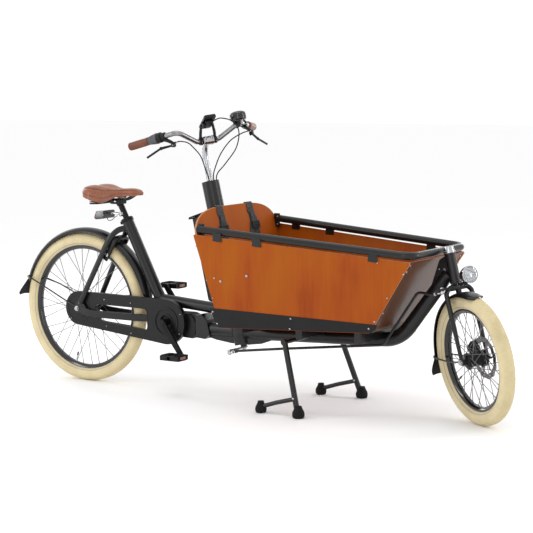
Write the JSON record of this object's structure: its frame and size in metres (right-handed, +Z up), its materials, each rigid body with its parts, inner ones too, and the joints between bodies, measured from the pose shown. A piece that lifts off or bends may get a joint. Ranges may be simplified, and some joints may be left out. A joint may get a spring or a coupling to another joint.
{
  "type": "cargo bicycle",
  "caption": "Electric cargo bicycle with a wooden load box between the rider and a small steered front wheel, on its folding stand.",
  "frame": {"origin": "on the ground under the middle of the whole bicycle", "axes": "+X is forward, towards the front wheel; +Y is the rider's left; +Z is up"},
  "size_m": [2.5997, 0.63, 1.2412],
  "materials": {
    "frame_paint": "satin",
    "rim_paint": "satin black",
    "black_plastic": "satin",
    "bright_alloy": "polished",
    "bright_steel": "bright",
    "lamp_chrome": "mirror bright",
    "dark_alloy": "satin black",
    "cream_tyre": "matte",
    "cable_rubber": "satin",
    "brown_leather": "smooth",
    "grey_rubber": "matte",
    "stained_wood": "clear coated",
    "black_webbing": "woven",
    "clear_lens": "clear",
    "rear_light_red": "glossy"
  },
  "bodies": {
    "frame": {"main_frame": "frame_paint", "rear_stay_right": "frame_paint", "rear_stay_left": "frame_paint", "seat_clamp": "bright_alloy", "rear_fender": "black_plastic", "ring_lock": "black_plastic", "motor": "black_plastic", "chaincase": "black_plastic", "chain": "bright_steel", "battery_case": "black_plastic", "box_side_right": "stained_wood", "box_side_left": "stained_wood", "box_back": "stained_wood", "box_front": "stained_wood", "box_floor": "stained_wood", "bench_board": "stained_wood", "box_rail": "frame_paint", "belt_right": "black_webbing", "belt_left": "black_webbing", "head_cap": "bright_alloy"},
    "seat": {"seat_post": "frame_paint", "saddle_base": "black_plastic", "saddle_cover": "brown_leather", "rear_light": "rear_light_red"},
    "steering": {"steering_column": "frame_paint", "stem": "bright_alloy", "handlebar": "bright_alloy", "grip_right": "brown_leather", "grip_left": "brown_leather", "lever_body_right": "black_plastic", "lever_body_left": "black_plastic", "bell": "frame_paint", "display": "black_plastic", "cable_right": "cable_rubber", "cable_left": "cable_rubber", "cable_display": "cable_rubber"},
    "front_fork": {"fork": "frame_paint", "front_fender": "black_plastic", "headlight": "lamp_chrome", "headlight_lens": "clear_lens", "brake_caliper": "dark_alloy"},
    "front_wheel": {"front_hub": "dark_alloy", "front_rim": "rim_paint", "front_tyre": "cream_tyre", "brake_disc": "bright_steel"},
    "rear_wheel": {"rear_hub": "dark_alloy", "rear_rim": "rim_paint", "rear_tyre": "cream_tyre"},
    "steering_rod": {"tie_rod": "frame_paint"},
    "cranks": {"crank_right": "dark_alloy", "crank_left": "dark_alloy", "chain_wheel": "dark_alloy"},
    "right_pedal": {"pedal_right": "black_plastic"},
    "left_pedal": {"pedal_left": "black_plastic"},
    "stand": {"stand_frame": "frame_paint"},
    "right_lever": {"lever_blade_right": "dark_alloy"},
    "left_lever": {"lever_blade_left": "dark_alloy"},
    "shifter": {"twist_shifter": "grey_rubber"},
    "bell_thumb": {"bell_lever": "black_plastic"},
    "lid": {"battery_lid": "black_plastic"}
  },
  "joints": [
    {"name": "handlebar_turn", "type": "hinge", "parent": "frame", "child": "steering", "pos_m": [-0.1303, 0, 0.578], "axis": [-0.2284, 0, 0.9736], "range_deg": [-5.6, 70.4]},
    {"name": "fork_turn", "type": "hinge", "parent": "frame", "child": "front_fork", "pos_m": [1.049, 0, 0.25881], "axis": [-0.2284, 0, 0.9736], "range_deg": [-5.6, 70.4]},
    {"name": "tie_rod_turn", "type": "hinge", "parent": "steering", "child": "steering_rod", "pos_m": [-0.0739, -0.07497, 0.21735], "axis": [-0.2284, 0, 0.9736], "range_deg": [-70.4, 5.6]},
    {"name": "front_wheel_spin", "type": "hinge", "parent": "front_fork", "child": "front_wheel", "pos_m": [1.06996, -0.01366, 0.26373], "axis": [0.5217, 0.8443, 0.1224], "continuous": true},
    {"name": "rear_wheel_spin", "type": "hinge", "parent": "frame", "child": "rear_wheel", "pos_m": [-0.9203, 0, 0.3395], "axis": [0, 1, 0], "continuous": true},
    {"name": "crank_turn", "type": "hinge", "parent": "frame", "child": "cranks", "pos_m": [-0.4243, 0, 0.311], "axis": [0, 1, 0], "continuous": true},
    {"name": "right_pedal_spin", "type": "hinge", "parent": "cranks", "child": "right_pedal", "pos_m": [-0.32438, -0.091, 0.17347], "axis": [0, 1, 0], "continuous": true},
    {"name": "left_pedal_spin", "type": "hinge", "parent": "cranks", "child": "left_pedal", "pos_m": [-0.52422, 0.091, 0.44853], "axis": [0, 1, 0], "continuous": true},
    {"name": "stand_fold", "type": "hinge", "parent": "frame", "child": "stand", "pos_m": [0.2997, 0, 0.3], "axis": [0, 1, 0], "range_deg": [0, 70]},
    {"name": "saddle_height", "type": "slide", "parent": "frame", "child": "seat", "axis": [-0.4623, 0, 0.8867], "range_m": [-0.02, 0.06]},
    {"name": "right_brake_pull", "type": "hinge", "parent": "steering", "child": "right_lever", "pos_m": [-0.27651, -0.17665, 1.09631], "axis": [-0.2103, 0.9764, -0.0493], "range_deg": [0, 14], "stiffness_Nm_per_rad": 2},
    {"name": "left_brake_pull", "type": "hinge", "parent": "steering", "child": "left_lever", "pos_m": [-0.07414, 0.11619, 1.13864], "axis": [0.9665, 0.1205, 0.2267], "range_deg": [0, 14], "stiffness_Nm_per_rad": 2},
    {"name": "gear_twist", "type": "hinge", "parent": "steering", "child": "shifter", "pos_m": [-0.39772, -0.18674, 1.11309], "axis": [0.9643, 0.064, 0.2569], "range_deg": [-50, 50]},
    {"name": "bell_push", "type": "hinge", "parent": "steering", "child": "bell_thumb", "pos_m": [-0.13693, 0.07498, 1.1881], "axis": [-0.2284, 0, 0.9736], "range_deg": [0, 25], "stiffness_Nm_per_rad": 0.05},
    {"name": "lid_open", "type": "hinge", "parent": "frame", "child": "lid", "pos_m": [-0.10632, 0, 0.82383], "axis": [0, 1, 0], "range_deg": [0, 75]}
  ],
  "couplings": [
    {"joint": "fork_turn", "follows": "handlebar_turn", "ratio": 1},
    {"joint": "tie_rod_turn", "follows": "handlebar_turn", "ratio": -1}
  ]
}
